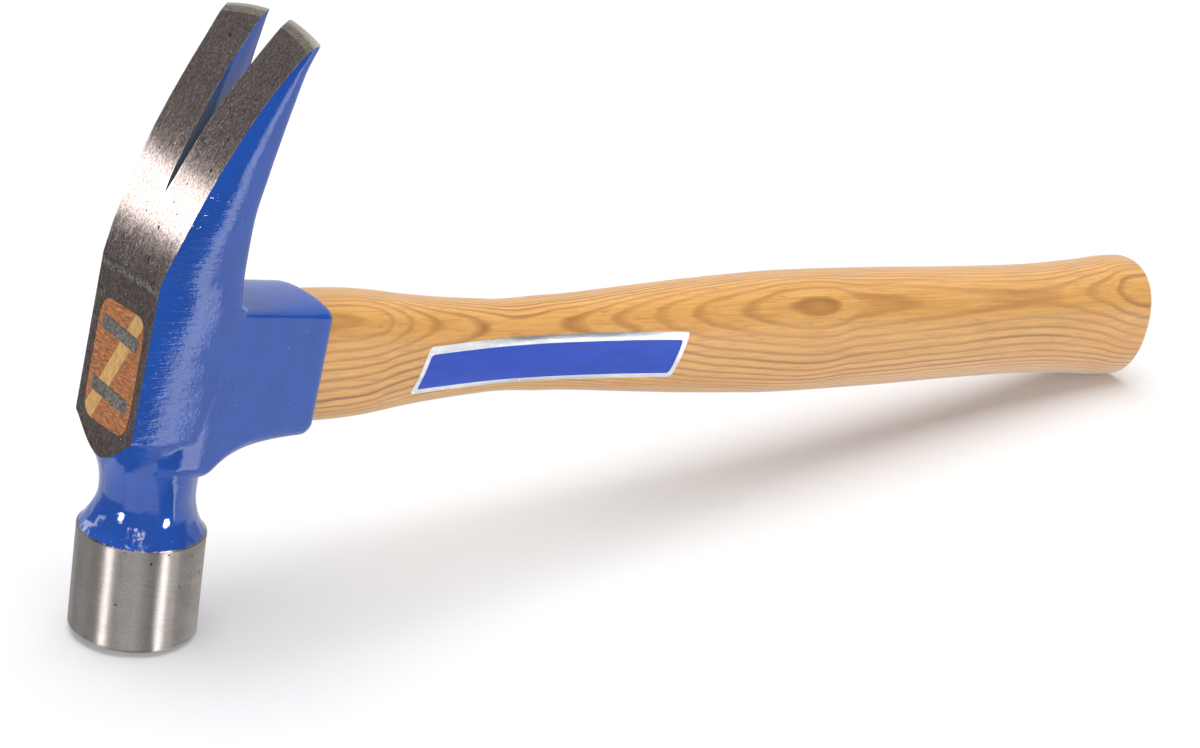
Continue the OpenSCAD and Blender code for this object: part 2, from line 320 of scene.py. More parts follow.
def new_material(name, **patterns):
    """A material, what puts a node in it, its shader, a pattern space in hammer millimetres, and noise
    patterns. Each has a stretch, whose larger numbers make its cells shorter that way, a scale and a
    detail."""
    material = bpy.data.materials.new(name)
    material.use_nodes = True
    tree = material.node_tree
    put = partial(add, tree)
    space = put("ShaderNodeMapping", {
        "Vector": put("ShaderNodeTexCoord", out="Object"),
        "Location": STAND.translation, "Rotation": (0, TILT, 0), "Scale": (MM, MM, MM),
    }, vector_type="TEXTURE")
    fields = {}
    for key, (stretch, scale, detail) in patterns.items():
        turned = put("ShaderNodeMapping", {"Vector": space, "Scale": stretch})
        fields[key] = put("ShaderNodeTexNoise", {
            "Vector": turned, "Scale": scale, "Detail": detail, "Roughness": 0.6,
        })
    return material, put, tree.nodes["Principled BSDF"], space, fields


def toned(code, level):
    """A colour of the panel made lighter or darker."""
    return tuple(min(1.0, part * level) for part in code[:3]) + (1.0,)


def stained(put, tone, *stains):
    """Lays stains over a colour. Each has a field, the levels at which it begins and is full, its
    greatest share, and its own colour."""
    for field, begins, full, most, stain in stains:
        share = put(RANGE, field, begins, full, 0.0, most, **SOFT)
        tone = put(MIX, {0: share, 6: tone, 7: stain}, **COLOUR)
    return tone


def enamel_material(sizes):
    # Blue enamel on a rough forging: glossy, with faint orange peel, a few dust nibs, and short furrows
    # that run towards the ground edge, so that reflections break up into a ragged comb there
    material, put, shader, space, fields = new_material(
        "blue_enamel_on_forging", peel=((1, 1, 1), 0.9, 2.0), comb=((0.2, 1, 1.4), 0.62, 3.0),
        nib=((1, 1, 1), 2.3, 0.0), coat=((1, 1, 1), 0.11, 2.0),
    )
    place = put("ShaderNodeSeparateXYZ", space).node.outputs
    # The ground face and its curve up the claws, which the furrows lie behind
    over = put(MATH, place["Z"], FACE_TOP, operation="SUBTRACT")
    over = put(MATH, over, 0.0, operation="MAXIMUM")
    slope = put(MATH, over, 0.5 / CLAW_RADIUS, math.tan(CLAW_BREAK), operation="MULTIPLY_ADD")
    front = put(MATH, over, slope, FACE_AT, operation="MULTIPLY_ADD")
    behind = put(MATH, place["X"], front, operation="SUBTRACT")
    side = put(MATH, place["Y"], operation="ABSOLUTE")
    furrowed = put(RANGE, behind, 17.0, 10.0, **SOFT)
    for field, none_at, full_at in ((side, 9.0, 12.0), (place["Z"], 60.0, 44.0)):
        share = put(RANGE, field, none_at, full_at, **SOFT)
        furrowed = put(MATH, furrowed, share, operation="MULTIPLY")
    height = put(MATH, fields["comb"], furrowed, operation="MULTIPLY")
    height = put(MATH, fields["peel"], 0.22, height, operation="MULTIPLY_ADD")
    tone = stained(
        put, toned(sizes.enamel, 0.88), (fields["coat"], 0.35, 0.65, 1.0, tuple(sizes.enamel)),
        (fields["nib"], 0.83, 0.87, 1.0, srgb("8FA3D8")),
    )
    # The paint thins to a grey film down in the nail slot
    thin = put(RANGE, place["Z"], 84.0, 62.0, **SOFT)
    for share in (put(RANGE, side, 4.5, 3.0, **SOFT), put(RANGE, place["Z"], 40.0, 44.0)):
        thin = put(MATH, thin, share, operation="MULTIPLY")
    fill(shader, {
        "Base Color": put(MIX, {0: thin, 6: tone, 7: srgb("59616F")}, **COLOUR),
        "Normal": put("ShaderNodeBump", {"Height": height, "Strength": 1.0, "Distance": 0.00016}),
        "Roughness": 0.09, "IOR": 1.53,
    })
    return material


def ground_material(sizes):
    # Forged steel finished on a belt: dark grey and finely speckled, with faint lines along the claws, a
    # pale scuff where the flat face ends, worn edges with a painted highlight, small pits, blurred
    # reflections
    material, put, shader, space, fields = new_material(
        "belt_ground_steel", speck=((1, 1, 0.7), 1.9, 3.0), lines=((0.3, 1, 0.12), 2.6, 3.0),
        cloud=((1, 1, 1), 0.12, 3.0), wander=((1, 1, 1), 0.16, 2.0), pit=((1, 1, 0.7), 0.95, 0.0),
        nick=((1, 0.8, 1), 1.25, 0.0), worn=((1, 1, 1), 0.45, 3.0),
    )
    speck, lines = fields["speck"], fields["lines"]
    mixed = put(MATH, lines, 0.35, operation="MULTIPLY")
    mixed = put(MATH, speck, 0.65, mixed, operation="MULTIPLY_ADD")
    tone = stained(
        put, toned(sizes.ground, 0.72), (mixed, 0.42, 0.6, 1.0, toned(sizes.ground, 1.55)),
        (fields["cloud"], 0.3, 0.75, 0.35, srgb("7D726D")),
    )
    place = put("ShaderNodeSeparateXYZ", space).node.outputs
    # The scuff wanders about the line where the flat face ends
    up = put(MATH, place["Z"], FACE_TOP - 0.8, operation="SUBTRACT")
    up = put(MATH, fields["wander"], 2.4, up, operation="MULTIPLY_ADD")
    scuff = put(RANGE, put(MATH, up, operation="ABSOLUTE"), 1.6, 0.1, **SOFT)
    scuff = put(MATH, scuff, put(RANGE, speck, 0.42, 0.55, **SOFT), operation="MULTIPLY")
    tone = put(MIX, {0: scuff, 6: tone, 7: srgb("D8D4CE")}, **COLOUR)
    # Worn edges with a painted edge highlight, drawn about 0.6 mm wide so that they show, follow the
    # outlines of the claws and the slot
    side = put(MATH, place["Y"], operation="ABSOLUTE")
    low, tall = GROUND_HEIGHTS[0], SLOT_HEIGHTS[-1] - GROUND_HEIGHTS[0]
    wide = 2 * GROUND_HALVES[0]
    run = put(RANGE, place["Z"], low, low + tall)
    worn = 0.0
    for heights, halves in ((GROUND_HEIGHTS, GROUND_HALVES), (SLOT_HEIGHTS, SLOT_HALVES)):
        edge = put("ShaderNodeFloatCurve", {"Value": run}, stops=[
            ((z - low) / tall, half / wide) for z, half in zip(heights, halves)
        ])
        off = put(MATH, edge, -wide, side, operation="MULTIPLY_ADD")
        near = put(RANGE, put(MATH, off, operation="ABSOLUTE"), 0.42, 0.2, **SOFT)
        begun = put(RANGE, place["Z"], heights[0] - 0.5, heights[0])
        near = put(MATH, near, begun, operation="MULTIPLY")
        worn = put(MATH, near, worn, operation="MAXIMUM")
    broken = put(RANGE, fields["worn"], 0.42, 0.6, 0.1, 0.8, **SOFT)
    higher = put(RANGE, place["Z"], FACE_TOP, FACE_TOP + 20, 0.35, 1.0)
    for share in (broken, higher):
        worn = put(MATH, worn, share, operation="MULTIPLY")
    tone = put(MIX, {0: worn, 6: tone, 7: srgb("DDD6CF")}, **COLOUR)
    tone = stained(
        put, tone, (fields["pit"], 0.8, 0.83, 1.0, srgb("2B2725")),
        (fields["nick"], 0.84, 0.87, 1.0, srgb("F2EFEA")),
    )
    fill(shader, {
        "Base Color": tone, "Metallic": 1.0, "Roughness": put(RANGE, lines, 0.3, 0.7, 0.1, 0.17),
        "Normal": put("ShaderNodeBump", {"Height": mixed, "Strength": 1.0, "Distance": 0.00001}),
    })
    return material


def poll_material(sizes):
    # Steel turned and polished round the poll: fine rings that draw each lamp out into an upright
    # streak, with a few small pits
    material, put, shader, space, fields = new_material(
        "turned_poll_steel", patch=((0.3, 0.3, 0.8), 0.5, 3.0), speck=((1, 1, 1), 2.4, 2.0),
        pit=((1, 1, 1), 0.75, 0.0),
    )
    upright = put("ShaderNodeVectorRotate", {
        "Vector": space, "Axis": (0, 1, 0), "Angle": POLL_LEAN,
    })
    rings = put("ShaderNodeTexNoise", {
        "Vector": put("ShaderNodeMapping", {"Vector": upright, "Scale": (0.06, 0.06, 1.6)}),
        "Scale": 3.4, "Detail": 2.0, "Roughness": 0.7,
    })
    mixed = put(MATH, rings, 0.4, operation="MULTIPLY")
    mixed = put(MATH, fields["speck"], 0.6, mixed, operation="MULTIPLY_ADD")
    tone = stained(
        put, toned(sizes.brushed, 0.84), (mixed, 0.35, 0.65, 1.0, toned(sizes.brushed, 1.15)),
        (fields["patch"], 0.45, 0.75, 0.25, srgb("857E78")),
        (fields["pit"], 0.835, 0.855, 1.0, srgb("2B2725")),
    )
    # The rings run round the poll, so the tangent does too
    place = put("ShaderNodeSeparateXYZ", upright).node.outputs
    back = put(MATH, place["Y"], -1.0, operation="MULTIPLY")
    round_it = put("ShaderNodeCombineXYZ", back, place["X"])
    fill(shader, {
        "Base Color": tone, "Metallic": 1.0, "Anisotropic": 0.95, "Anisotropic Rotation": 0.25,
        "Roughness": put(RANGE, fields["patch"], 0.3, 0.7, 0.36, 0.46),
        "Normal": put("ShaderNodeBump", {"Height": rings, "Strength": 0.2, "Distance": 0.00002}),
        "Tangent": put(VECTOR, round_it, operation="NORMALIZE"),
    })
    return material


def tip_material():
    # The bare bevel at the claw tips: worn metal off a fine wheel, duller than the ground face and
    # brighter at the very tip, which is worn metal with a painted edge highlight
    material, put, shader, space, fields = new_material("worn_bevel_steel", speck=((1, 1, 1), 1.6, 3.0))
    place = put("ShaderNodeSeparateXYZ", space).node.outputs
    # Within a millimetre of the tip line the colour is lighter: worn metal and a painted edge highlight
    tip = put(MATH, place["Y"], place["Y"], operation="MULTIPLY")
    tip = put(MATH, tip, 0.5 / TIP_RADIUS, place["Z"], operation="MULTIPLY_ADD")
    fill(shader, {
        "Base Color": stained(
            put, srgb("675F58"), (fields["speck"], 0.35, 0.65, 1.0, srgb("948C82")),
            (tip, CLAW_TOP - 1.0, CLAW_TOP - 0.3, 1.0, srgb("B9B2A7")),
        ),
        "Normal": put("ShaderNodeBump", {
            "Height": fields["speck"], "Strength": 0.6, "Distance": 0.0001,
        }),
        "Metallic": 0.6, "Roughness": 0.4,
    })
    return material


# The heart of the tree lay behind the handle and below its middle, in millimetres, so that the belly and
# the flares cut the straight rings into an eye, arches and a fork on the side
PITH_BEHIND = 28.4
PITH_HEIGHT = -11.9
# How far from the heart a ring ends
RING_FROM = 46.64
# How far the grain runs out of line with the handle, by place, and the range that holds it
DRIFT_PLACES = (-13.4, 44, 63, 71, 81, 100, 125, 155, 185, 208, 228, 250, 280, 335, 367, 392.6)
DRIFTS = (0, 0, 0.1, -0.15, -0.1, 0.32, 0.3, 0.3, 0.15, 0, 0, -0.75, -0.9, -0.95, -0.7, -0.7)
DRIFT_LOW = -1.2
DRIFT_SPAN = 1.6


def hickory_material(sizes):
    # Hickory under a thin clear lacquer: yearly rings that show as arches where the side cuts them and
    # as straight lines below, silky fibres, short dark pores, and reddish flecked end grain
    material, put, shader, space, fields = new_material(
        "lacquered_hickory", wander=((0.1, 0.6, 0.6), 0.07, 2.0), uneven=((0.05, 0.6, 0.6), 0.3, 2.0),
        fibre=((0.03, 1, 1), 1.7, 3.0), silk=((0.015, 1, 1), 0.55, 3.0), cloud=((0.12, 1, 1), 0.09, 2.0),
        pore=((0.06, 1, 1), 2.1, 1.0), waver=((0.3, 1, 1), 0.35, 1.0),
    )
    place = put("ShaderNodeSeparateXYZ", space).node.outputs
    from_pith = put(VECTOR, space, (0, PITH_BEHIND, PITH_HEIGHT), operation="SUBTRACT")
    across = put(VECTOR, from_pith, (0, 1, 1), operation="MULTIPLY")
    out = put(VECTOR, across, operation="LENGTH", out="Value")
    first, last = DRIFT_PLACES[0], DRIFT_PLACES[-1]
    drift = put("ShaderNodeFloatCurve", {"Value": put(RANGE, place["X"], first, last)}, stops=[
        ((x - first) / (last - first), (d - DRIFT_LOW) / DRIFT_SPAN) for x, d in zip(DRIFT_PLACES, DRIFTS)
    ])
    out = put(MATH, drift, DRIFT_SPAN, out, operation="MULTIPLY_ADD")
    out = put(MATH, out, DRIFT_LOW - RING_FROM, operation="ADD")
    for key, reach in (("wander", 0.8), ("waver", 0.2)):
        out = put(MATH, fields[key], reach, out, operation="MULTIPLY_ADD")
    phase = put(MATH, out, sizes.ring_spacing / MM, operation="DIVIDE")
    ring = put(MATH, phase, operation="FRACT")
    # Late wood begins sharply and fades outward. Some years are darker than others.
    year = put("ShaderNodeTexWhiteNoise", {"W": put(MATH, phase, operation="FLOOR")},
               noise_dimensions="1D", out="Value")
    late = put(RANGE, ring, 0.5, 0.7, **SOFT)
    for share in (
        put(RANGE, ring, 1.0, 0.72, 0.35, 1.0, **SOFT), put(RANGE, ring, 1.0, 0.96),
        put(RANGE, year, 0.0, 1.0, 0.45, 1.0),
        put(RANGE, fields["uneven"], 0.3, 0.7, 0.55, 1.0, **SOFT),
    ):
        late = put(MATH, late, share, operation="MULTIPLY")
    tone = put(MIX, {0: late, 6: tuple(sizes.early_wood), 7: tuple(sizes.late_wood)}, **COLOUR)
    tone = stained(
        put, tone, (fields["silk"], 0.42, 0.7, 0.35, srgb("BF7F3F")),
        (fields["fibre"], 0.45, 0.7, 0.36, srgb("A9702F")),
        (fields["cloud"], 0.4, 0.75, 0.25, srgb("DC9A4C")),
        (fields["fibre"], 0.4, 0.25, 0.35, srgb("F0C98A")),
    )
    # Pores, drawn 0.25 mm wide and a few mm long, gather in the light part of a ring
    pores = put(RANGE, fields["pore"], 0.64, 0.74, **SOFT)
    pores = put(MATH, pores, put(RANGE, ring, 0.6, 0.1, 0.3, 1.0), operation="MULTIPLY")
    faint = put(MATH, pores, 0.4, operation="MULTIPLY")
    tone = put(MIX, {0: faint, 6: tone, 7: srgb("85552B")}, **COLOUR)
    # Across the cut end in the eye the fibres show as slanting flecks on a redder ground
    slanted = put("ShaderNodeMapping", {
        "Vector": space, "Rotation": (math.radians(35), 0, 0), "Scale": (0.4, 0.45, 1.5),
    })
    flecks = put("ShaderNodeTexNoise", {
        "Vector": slanted, "Scale": 1.1, "Detail": 3.0, "Roughness": 0.65,
    })
    cut = stained(put, toned(sizes.end_grain, 0.4), (flecks, 0.36, 0.6, 1.0, tuple(sizes.end_grain)))
    pale = put(RANGE, flecks, 0.6, 0.72, 0.0, 0.8)
    cut = put(MIX, {0: pale, 6: cut, 7: srgb("E3AE78")}, **COLOUR)
    in_eye = put(RANGE, place["X"], FACE_AT + 1.4, FACE_AT + 0.2)
    relief = put(MATH, pores, -0.8, fields["fibre"], operation="MULTIPLY_ADD")
    fill(shader, {
        "Base Color": put(MIX, {0: in_eye, 6: tone, 7: cut}, **COLOUR),
        "Normal": put("ShaderNodeBump", {"Height": relief, "Strength": 0.5, "Distance": 0.0001}),
        "Roughness": 0.33, "IOR": 1.5, "Coat Weight": 0.3, "Coat Roughness": 0.2,
    })
    return material


def wedge_wood_material(sizes):
    # A bare softer wood ground flush: yellowish, with short fibres and a grey bloom of steel dust
    material, put, shader, _, fields = new_material(
        "bare_wedge_wood", fibre=((0.3, 1.4, 0.5), 1.1, 3.0), smudge=((1, 1, 1), 0.35, 2.0),
    )
    fill(shader, {
        "Base Color": stained(
            put, srgb("B98E4E"), (fields["fibre"], 0.35, 0.65, 1.0, tuple(sizes.wedge_wood)),
            (fields["smudge"], 0.5, 0.8, 0.4, srgb("9A8156")),
        ),
        "Normal": put("ShaderNodeBump", {
            "Height": fields["fibre"], "Strength": 0.4, "Distance": 0.0001,
        }),
        "Roughness": 0.62,
    })
    return material


def wedge_steel_material(sizes):
    # Mild steel ground flush with the face: dark grey, speckled by the same belt
    material, put, shader, _, fields = new_material("ground_wedge_steel", speck=((1, 1, 0.8), 1.9, 3.0))
    fill(shader, {
        "Base Color": stained(
            put, toned(sizes.wedge_steel, 0.5),
            (fields["speck"], 0.35, 0.68, 1.0, toned(sizes.wedge_steel, 1.6)),
        ),
        "Normal": put("ShaderNodeBump", {
            "Height": fields["speck"], "Strength": 0.5, "Distance": 0.0001,
        }),
        "Metallic": 0.85, "Roughness": 0.5,
    })
    return material


def foil_material(sizes, long, high):
    # Printed foil: a mirror-like silver border round a flat printed blue field with rounded corners
    material, put, shader, _, fields = new_material("printed_foil", crease=((0.2, 1, 1), 0.35, 2.0))
    crease = fields["crease"]
    edge, bend = sizes.label_border / MM, 1.0
    # The border is wider above the field than below it
    middle = (long / 2, high / 2 - LABEL_OFFSET, 0)
    half = (long / 2 - edge - bend, high / 2 - edge - bend, 0)
    away = put("ShaderNodeUVMap", uv_map="label")
    away = put(VECTOR, away, middle, operation="SUBTRACT")
    away = put(VECTOR, away, operation="ABSOLUTE")
    away = put(VECTOR, away, half, operation="SUBTRACT")
    away = put(VECTOR, away, (0, 0, 0), operation="MAXIMUM")
    away = put(VECTOR, away, operation="LENGTH", out="Value")
    border = put(MATH, away, bend, operation="GREATER_THAN")
    print_blue = sizes.print_blue
    field = stained(put, tuple(print_blue), (crease, 0.3, 0.7, 1.0, toned(print_blue, 1.15)))
    silver = stained(put, srgb("BDC0C4"), (crease, 0.3, 0.7, 1.0, tuple(sizes.foil)))
    fill(shader, {
        "Base Color": put(MIX, {0: border, 6: field, 7: silver}, **COLOUR),
        "Metallic": put(MATH, border, 0.9, operation="MULTIPLY"),
        "Normal": put("ShaderNodeBump", {"Height": crease, "Strength": 0.5, "Distance": 0.0001}),
        "Roughness": 0.2, "IOR": 1.35,
    })
    return material


# The head. Tables below go by height z or by place x, in real millimetres.

FACE_AT = -13.4
FACE_TOP = 25.7
CLAW_BREAK = math.radians(13)
CLAW_RADIUS = 192
CLAW_TOP = 93.4
THROAT_AT = 11.8
THROAT_HEIGHT = 44
THROAT_ROUND = 4
TIP_THICKNESS = 0.9
TIP_RADIUS = 70
SOCKET_HALF = 18.5
SOCKET_SIDE = 13.5
CHEEK_HALF = 14.3
ROOT_RADIUS = 1.6
NECK_DEPTH = 35.4
NECK_HALF = 12.7
NECK_BACK = 0.6
# Sharpness of the neck's four edges, as a share, the depth at which they begin to fade, and over how much
NECK_EDGE = 0.4
FADE_FROM = 37
FADE_OVER = 8
# How much less the neck flares to the sides under the cheeks, as a share
SIDE_FLARE_LOST = 0.9
UPPER_FLARE = 22
SHOULDER_DEPTH = 46.9
SHOULDER_HALF = 17.05
# Depth at which the turned poll begins, and what the eye leaves round the wood
POLL_TOP = 46.6
FIT_GAP = 0.05
# Half width of the tools that cut the tips
TIP_REACH = 26
# Half width of the ground face along its height
GROUND_HEIGHTS = (-19, 25.7, 40, 52, 65.6, 73, 82.6, 93.4)
GROUND_HALVES = (13.2, 13.3, 14.9, 15.8, 16.7, 17.2, 18.2, 20.2)
# The claws' roundings, which are full where they are this deep from ground top to underside: how far the
# sides tuck in, the crown of the underside, and the radius of its edges
FULL_DEPTH = 25
SIDE_TUCK = 1.5
UNDER_CROWN = 1.2
UNDER_ROUND = 2.6
# How far the sides swell past the ground edge, and where that swell ends
SWELL_HEIGHTS = (-25, 5, 17, 27, 40, 60, 72, 93)
SWELLS = (1.0, 1.2, 1.8, 1.8, 1.7, 1.2, 0.9, 0.1)
SWELL_ENDS = (3.5, 3.5, 6, 4, 3, 6, 10, 17)
# Half gap of the nail slot along its height
SLOT_HEIGHTS = (46, 47.5, 51.3, 58, 64.3, 69.5, 80, 93.4, 98)
SLOT_HALVES = (0.02, 0.45, 0.95, 1.4, 1.75, 2.2, 3.4, 4.6, 5.0)


def top_at(z):
    """Place of the ground face and of the claws' ground top."""
    turn = np.arcsin(np.sin(CLAW_BREAK) + np.maximum(0, z - FACE_TOP) / CLAW_RADIUS)
    return FACE_AT + CLAW_RADIUS * (np.cos(CLAW_BREAK) - np.cos(turn))


def from_throat(z):
    return math.hypot(z - THROAT_HEIGHT, THROAT_ROUND) - THROAT_ROUND


def under_at(z):
    """Place of the claws' underside, at its middle."""
    level = max(z, SOCKET_HALF)
    slope = (top_at(CLAW_TOP) + TIP_THICKNESS - THROAT_AT) / from_throat(CLAW_TOP)
    rise = min(ROOT_RADIUS, max(0, SOCKET_HALF + ROOT_RADIUS - level))
    place = THROAT_AT + slope * from_throat(level) + ROOT_RADIUS - math.sqrt(ROOT_RADIUS ** 2 - rise ** 2)
    return max(place, top_at(z) + TIP_THICKNESS)


def tip_at(y):
    """Height of the round tip line."""
    return CLAW_TOP - TIP_RADIUS + np.sqrt(TIP_RADIUS ** 2 - np.square(y))


def claw_ring(z, spare=4.0, side_steps=16, turn_steps=6, back_steps=10):
    """One level section of the cheeks and claws, with spare metal in front of the ground face."""
    top, under = float(top_at(z)), under_at(z)
    half = np.interp(z, GROUND_HEIGHTS, GROUND_HALVES)
    swell = np.interp(z, SWELL_HEIGHTS, SWELLS)
    end = min(np.interp(z, SWELL_HEIGHTS, SWELL_ENDS), under - 0.6)
    share = min(1.0, (under - top) / FULL_DEPTH)
    # Beside the socket the swell dies away into the socket's side
    tuck = SIDE_TUCK * share if z > SOCKET_HALF else max(0.0, half + swell - CHEEK_HALF + 0.6)
    edge = min(UNDER_ROUND, 0.45 * (under - top))
    crown = UNDER_CROWN * share
    near = []
    for x in np.linspace(top - spare, under - crown - edge, side_steps):
        before = np.clip((end - x) / max(1.0, end - top), 0, 1.35)
        after = np.clip((x - end) / max(1.0, under - end), 0, 1)
        near.append((x, half + swell * (1 - before ** 2) - tuck * after ** 2))
    wide = near[-1][1]
    for k in range(1, turn_steps + 1):
        turn = math.pi / 2 * k / turn_steps
        near.append((under - crown - edge + edge * math.sin(turn), wide - edge * (1 - math.cos(turn))))
    inner = wide - edge
    for y in np.linspace(inner, 0, back_steps)[1:-1]:
        near.append((under - crown * (y / inner) ** 2, y))
    return [(x, -y, z) for x, y in near] + [(x, y, z) for x, y in reversed(near)]


def neck_ring(depth, count=96):
    """A ring across the neck: four bulging sides above, which fade to a round at the poll."""
    if depth < NECK_DEPTH:
        reach = NECK_HALF + UPPER_FLARE - math.sqrt(UPPER_FLARE ** 2 - (depth - NECK_DEPTH) ** 2)
    else:
        out, drop_by = SHOULDER_HALF - NECK_HALF, SHOULDER_DEPTH - NECK_DEPTH
        radius = (drop_by ** 2 + out ** 2) / (2 * out)
        away = min(depth, SHOULDER_DEPTH) - NECK_DEPTH
        reach = NECK_HALF + radius - math.sqrt(radius ** 2 - away ** 2)
    fade = min(1.0, max(0.0, (depth - FADE_FROM) / FADE_OVER))
    fade = fade * fade * (3 - 2 * fade)
    back = NECK_BACK * (1 - fade)
    flare = reach - NECK_HALF if depth < NECK_DEPTH else 0.0
    ring = []
    for i in range(count):
        turn = 2 * math.pi * i / count
        wrap = (turn % (math.pi / 2) - math.pi / 4) / 2
        level = reach - SIDE_FLARE_LOST * flare * math.sin(turn) ** 2
        edged = level * (1 + NECK_EDGE * (1 / math.cos(wrap) - 1))
        radius = edged * (1 - fade) + level * fade
        ring.append((back + radius * math.cos(turn), radius * math.sin(turn), -depth))
    return ring


def leaned(points):
    """Points drawn round an upright poll axis, leaned with the poll."""
    turn = np.array(Matrix.Rotation(-POLL_LEAN, 3, "Y"))
    return np.asarray(points, float) @ turn.T


# Depth at which the paint begins to run and gather, and over how much that grows
RUNS_FROM = 38
RUNS_OVER = 5
# Where the paint ends on the poll: turn round it in degrees, and depth
PAINT_TURNS = (0, 40, 80, 110, 135, 161, 182, 203, 212, 225, 237, 249, 265, 279, 294, 315, 340, 360)
PAINT_DEPTHS = (47.5, 47.0, 47.8, 46.9, 47.4, 47.1, 47.0, 46.2, 47.2, 47.8, 47.5, 46.8, 46.6, 47.1, 47.1,
                48.4, 47.9, 47.5)
# The web under the socket: its depth at the neck, and how soon it dies away. Place of the socket's mouth.
WEB_DEPTH = 10
WEB_FADE = 8.3
SOCKET_END = 43.8


def socket_ring(x, shrink=0.0):
    """A section of the socket and the web under it: crowned on top, flat sided, with rounded edges."""
    low = SOCKET_HALF + WEB_DEPTH * math.exp(-max(0, x - NECK_HALF) / WEB_FADE)
    side = np.interp(x, (-4, 2, 8, SOCKET_END), (12.6, 14.0, CHEEK_HALF, SOCKET_SIDE)) - shrink
    crown = np.interp(x, (14, SOCKET_END), (1.0, 3.0))
    across = np.linspace(-1, 1, 41)
    over, under = [], []
    for s in across:
        fall = crown * (0.6 * abs(s) ** 2.2 + 0.4 * abs(s) ** 14)
        over.append((x, side * s, SOCKET_HALF - shrink - fall))
    for s in reversed(across):
        lift = 3.4 * max(0, (abs(s) - 0.72) / 0.28) ** 2.2
        under.append((x, side * s, shrink - low + lift))
    return over + under


def wood_ring(x, high, wide, power, fall=0.0, count=72):
    """A superellipse across the handle."""
    ring = []
    for i in range(count):
        turn = 2 * math.pi * (i + 0.5) / count
        c, s = math.cos(turn), math.sin(turn)
        ring.append((
            x, wide * math.copysign(abs(c) ** (2 / power), c),
            high * math.copysign(abs(s) ** (2 / power), s) - fall,
        ))
    return ring


# The tenon and the eye: place, half height, half width, squareness, drop of the middle
EYE = ((FACE_AT, 16.3, 10.2, 6, 0.8), (11, 14.7, 8.6, 6, 0), (SOCKET_END, 16.3, 11.1, 2.8, 0))


def tenon(name, grow=0, past=0):
    """The tenon, or the eye when it is grown and run past both ends."""
    rings = []
    for first, second in zip(EYE[:-1], EYE[1:]):
        for k in range(6):
            t = (1 - math.cos(math.pi * k / 6)) / 2
            row = between(first, second, t)
            row[0] = first[0] + (second[0] - first[0]) * k / 6
            rings.append(row)
    rings.append(list(EYE[-1]))
    if past:
        rings.insert(0, [EYE[0][0] - past, *EYE[0][1:]])
    rings.append([EYE[-1][0] + (past or 6.0), *EYE[-1][1:]])
    return loft(name, [wood_ring(r[0], r[1] + grow, r[2] + grow, r[3], r[4]) for r in rings])


def prism(name, outline, low, high, axis):
    """An outline run straight along x or y. Its points are (x, z) for y, and (y, z) for x."""
    rings = []
    for place in (low, high):
        rings.append([(a, place, b) if axis == "y" else (place, a, b) for a, b in outline])
    return loft(name, rings)


# The foot of each cheek slants down from the ground face to the web: place, height, and how far the cut
# below it drops inwards and where that ends
CHEEK_FOOT = (
    (-30, -11.9, 6.3, 5.0), (-14.1, -18.6, 6.3, 5.6), (-4, -22.9, 3.2, 12.9), (6.4, -27.3, 1.8, 13.1),
    (9.0, -30.5, 1.6, 13.1),
)


def undercut_ring(x, z, drop_in, inner, side):
    """What is cut away below the foot of a cheek, back to the neck."""
    return [(x, side * y, h) for y, h in (
        (inner, -60), (inner, z - drop_in), (14.5, z), (25, z + 0.5), (25, -60),
    )]


def forge_body(sizes):
    """The forged body before it is ground: cheeks, claws, socket, web and neck in one skin."""
    levels = [np.arange(-40, 18, 2.5), np.arange(SOCKET_HALF, 22, 0.5), np.arange(22, 98, 1.5)]
    block = loft("block", [claw_ring(z) for z in np.concatenate(levels)])
    keep = prism("keep", [(-60, -17.5), (60, -17.5), (60, 110), (-60, 110)], -60, 60, "x")
    neck = loft("neck", [leaned(neck_ring(d)) for d in np.linspace(15.5, 41.0, 40)])
    carve(keep, neck, "UNION")
    carve(block, keep, "INTERSECT")
    lower = list(np.linspace(34.0, SHOULDER_DEPTH, 28)) + [48.5, 52, 56]
    flare = loft("flare", [leaned(neck_ring(d)) for d in lower])
    # The last rings round the edge of the socket's mouth
    places = list(np.linspace(-4, 41.8, 33)) + [42.6, 43.2, 43.6, SOCKET_END]
    shrinks = [0.0] * 33 + [0.06, 0.2, 0.45, 0.8]
    socket = loft("socket", [socket_ring(x, s) for x, s in zip(places, shrinks)])
    for thing in (block, socket):
        for side in (-1, 1):
            carve(thing, loft("undercut", [undercut_ring(*row, side) for row in CHEEK_FOOT]))
    body = joined("head", [block, flare, socket])
    skin = body.modifiers.new("skin", "REMESH")
    skin.mode = "VOXEL"
    skin.voxel_size = sizes.forging_grain / MM
    even = body.modifiers.new("even", "SMOOTH")
    even.factor = 0.5
    even.iterations = 4
    return applied(body)


def roughen(body, sizes):
    """The forging's shallow waves, and paint that has run and gathered above the poll."""
    mesh = body.data
    places = read(mesh, "vertices", "co")
    normals = read(mesh, "vertices", "normal")
    depth = places[:, 0] * math.sin(POLL_LEAN) - places[:, 2] * math.cos(POLL_LEAN)
    beside = places[:, 0] * math.cos(POLL_LEAN) + places[:, 2] * math.sin(POLL_LEAN)
    turn = np.degrees(np.arctan2(places[:, 1], beside)) % 360
    past = np.clip((depth - np.interp(turn, PAINT_TURNS, PAINT_DEPTHS)) / 0.9 + 0.5, 0, 1)
    runs = np.clip((depth - RUNS_FROM) / RUNS_OVER, 0, 1)
    build = sizes.paint_build / MM
    for i, (place, run, end) in enumerate(zip(places, runs, past)):
        x, y, z = place
        wave = 0.035 * noise.noise(Vector((x / 9, y / 6, z / 5)))
        wave += 0.012 * noise.noise(Vector((x / 3, y / 3, z / 2)))
        if run > 0:
            swirl = noise.noise(Vector((x / 2.4, y / 2.4, z / 3.2)) + Vector((7, 3, 5)))
            wave = run * (build * (0.9 + 1.1 * swirl) * (1 - end) - 0.35 * end)
        places[i] += normals[i] * wave
    mesh.vertices.foreach_set("co", places.astype(np.float32).ravel())
    mesh.update()


